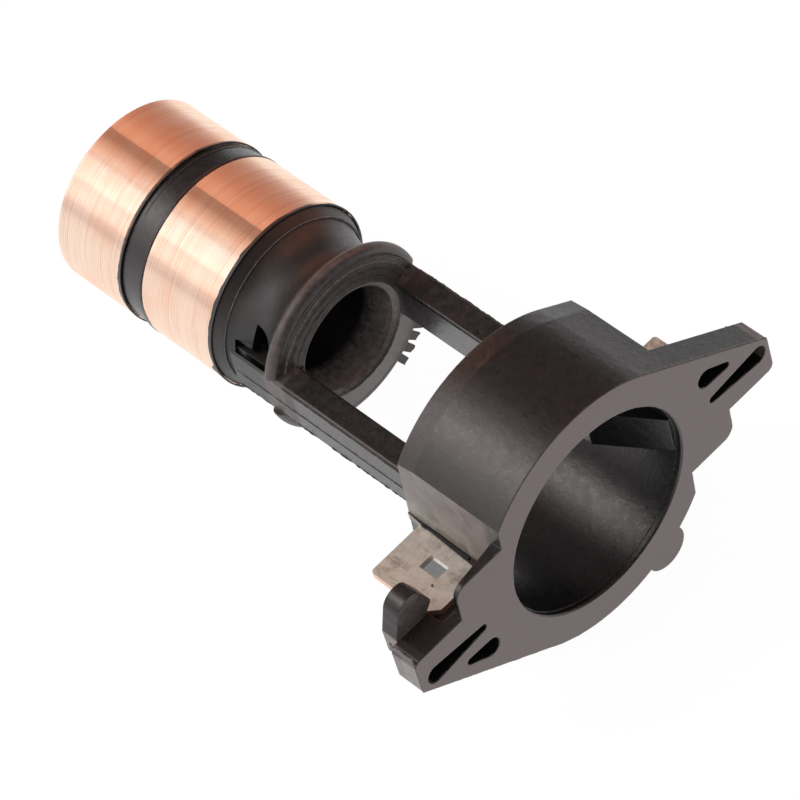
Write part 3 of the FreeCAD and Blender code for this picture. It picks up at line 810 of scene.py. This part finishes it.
def make_broken_flash(material):
    """Flash beside the right arm, broken into teeth by low gaps."""
    x, radius, lean = -25.85, 7.3, (0.35, 1)
    start, end, step = -153, -126, 0.75
    tooth_places, gap_places = 7, 3
    tooth_height, raggedness, frequency, gap_height = 0.85, 0.25, 1.7, 0.12
    places, leans = circle(x, radius, start, end, lean, step)
    heights = []
    for number, place in enumerate(places):
        tooth = number % (tooth_places + gap_places) < tooth_places
        ragged = tooth_height + raggedness * field.noise(place * frequency)
        heights.append(ragged if tooth else gap_height)
    ribbon("broken_flash", places, leans, half_width=0.2, heights=heights, material=material, root=0.4)


def make_bore_step(material):
    """A faint step in the collar's bore, a little way in."""
    bore_radius, depth = 8.5, 0.55
    ring_ribbon("bore_step", -depth, bore_radius, (0, -1), half_width=0.05, heights=(0.02, 0.07),
                frequency=0.5, seed=13, material=material)


def make_arm_flash(material):
    """Flash on the arms' edges and parting line; the right arm is the left one after half a turn."""
    arm_outer, step = 7.2, 0.18
    arm_start, arm_end, left_arm_end = -10.2, -24.9, -30.2
    for side, name, far_end in ((-1, "left", left_arm_end), (1, "right", arm_end)):
        lines = ((-1.38, far_end, (0.0, 0.09)), (2.35, arm_end, (0.0, 0.05)), (0.3, far_end, (0.03, 0.08)))
        for number, (z, first, heights) in enumerate(lines):
            count = int((arm_start - first) / step)
            places = [Vector((first + step * spot, side * arm_outer, -side * z)) for spot in range(count)]
            leans = [Vector((0, side, 0))] * count
            ragged = torn(places, heights, frequency=1.4, seed=20 + number + side)
            ribbon(f"{name}_arm_flash_{number}", places, leans, half_width=0.05, heights=ragged,
                   material=material, root=0.15)


def make_tab_marks(flash, painted_shade_flash):
    """A near-black torn strip between the left tab and the flat, painted dark for the shade in that gap,
    and the dent in the tab.
    """
    places = seen_line(TAB_GAP_PIXELS)
    lean = Vector((0, -0.5, 1)).normalized()
    ragged = torn(places, (0.03, 0.16), frequency=0.7, seed=30)
    # painted shade: torn flash, near black and rough, laid along the gap where it lies in shade
    ribbon("tab_gap_shade_flash", places, [lean] * len(places), half_width=0.13, heights=ragged,
           material=painted_shade_flash)
    dent = (-4.34, -12.35, 1.44)
    crumb("tab_dent", dent, size=0.13, seed=5, material=flash)


def make_fin_foot_flash(material):
    """The line along the left fin's foot."""
    ear_back, ear_end, fin_foot = -2.4, -18.2, 2.45
    step, count = 0.15, 16
    places = [Vector((ear_back + step * number, ear_end, fin_foot)) for number in range(count)]
    leans = [Vector((0, 0, 1))] * count
    ragged = torn(places, (0.3, 0.75), frequency=1.2, seed=32)
    ribbon("fin_foot_flash", places, leans, half_width=0.06, heights=ragged, material=material)


def front_face_edges():
    """The edges of the flange's front face and of the holes in it.

    Each start's number leads to its end's number, both places, and the way out of the wall behind the edge.
    """
    close, straight_ahead = 1e-6, 0.99
    shape = bmesh.new()
    shape.from_mesh(body.data)
    bmesh.ops.remove_doubles(shape, verts=shape.verts, dist=close)
    edges = {}
    for edge in shape.edges:
        if max(abs(vertex.co.x) for vertex in edge.verts) > close or len(edge.link_faces) != 2:
            continue
        front = [face.normal.x > straight_ahead for face in edge.link_faces]
        if front[0] == front[1]:
            continue
        face, wall = edge.link_faces if front[0] else reversed(edge.link_faces)
        loop = next(loop for loop in face.loops if loop.edge == edge)
        out = Vector((0, wall.normal.y, wall.normal.z)).normalized()
        start, end = loop.vert, loop.link_loop_next.vert
        edges[start.index] = (end.index, start.co / MM, end.co / MM, out)
    shape.free()
    return edges


def make_face_flash(material):
    """A faint torn rim all round the edges of the flange's front face and of the holes in it."""
    step, depth, fewest_places = 0.3, 0.06, 9
    edges = front_face_edges()
    made = 0
    while edges:
        first = here = min(edges)
        places, leans = [], []
        while here in edges:
            after, start, end, out = edges.pop(here)
            count = max(1, int((end - start).length / step))
            for number in range(count):
                places.append(start.lerp(end, number / count) - Vector((depth, 0, 0)))
                leans.append(out)
            here = after
        if here == first and len(places) >= fewest_places:
            smooth_leans = [(leans[number - 1] + lean + leans[(number + 1) % len(leans)]).normalized()
                            for number, lean in enumerate(leans)]
            ragged = torn(places, (0.0, 0.075), frequency=1.1, seed=40 + made)
            ribbon(f"face_flash_{made}", places, smooth_leans, half_width=0.05, heights=ragged,
                   material=material, closed=True)
            made += 1


def dress(name, material):
    mesh = nodes[name].data
    mesh.materials.clear()
    mesh.materials.append(material)


make_camera()
make_world()
make_floor()
make_panel("key", (-0.49, -0.54, 0.68), size=500.0, radiance=0.85)
make_panel("key_core", (-0.49, -0.46, 0.74), size=200.0, radiance=2.6)
bpy.context.scene.view_settings.view_transform = "Standard"

moulding = moulding_material()
copper = copper_material()
tin = tin_material()
flash = flash_material("torn_flash", dark=(0.010, 0.009, 0.009), pale=(0.075, 0.056, 0.053))
# near black and rough, for the painted shade in the gap beside the left tab
painted_shade_flash = flash_material("painted_shade_flash", dark=(0.003, 0.003, 0.003), pale=(0.014, 0.012, 0.012),
                            roughness=0.75)
# pale flash: rubbed on the hub's front, and a painted highlight along the lip's crease
pale_flash = flash_material("rubbed_flash_and_highlight", dark=(0.055, 0.045, 0.044), pale=(0.26, 0.215, 0.205))
dress("moulded_body", moulding)
for ring in ("outer_slip_ring", "inner_slip_ring"):
    dress(ring, copper)
for strip in ("outer_conductor", "inner_conductor"):
    dress(strip, tin)

make_ring_flash(moulding)
make_hub_lines(moulding, pale_flash)
make_hub_front(flash, pale_flash)
make_broken_flash(moulding)
make_bore_step(flash)
make_arm_flash(flash)
make_tab_marks(flash, painted_shade_flash)
make_fin_foot_flash(flash)
make_face_flash(flash)
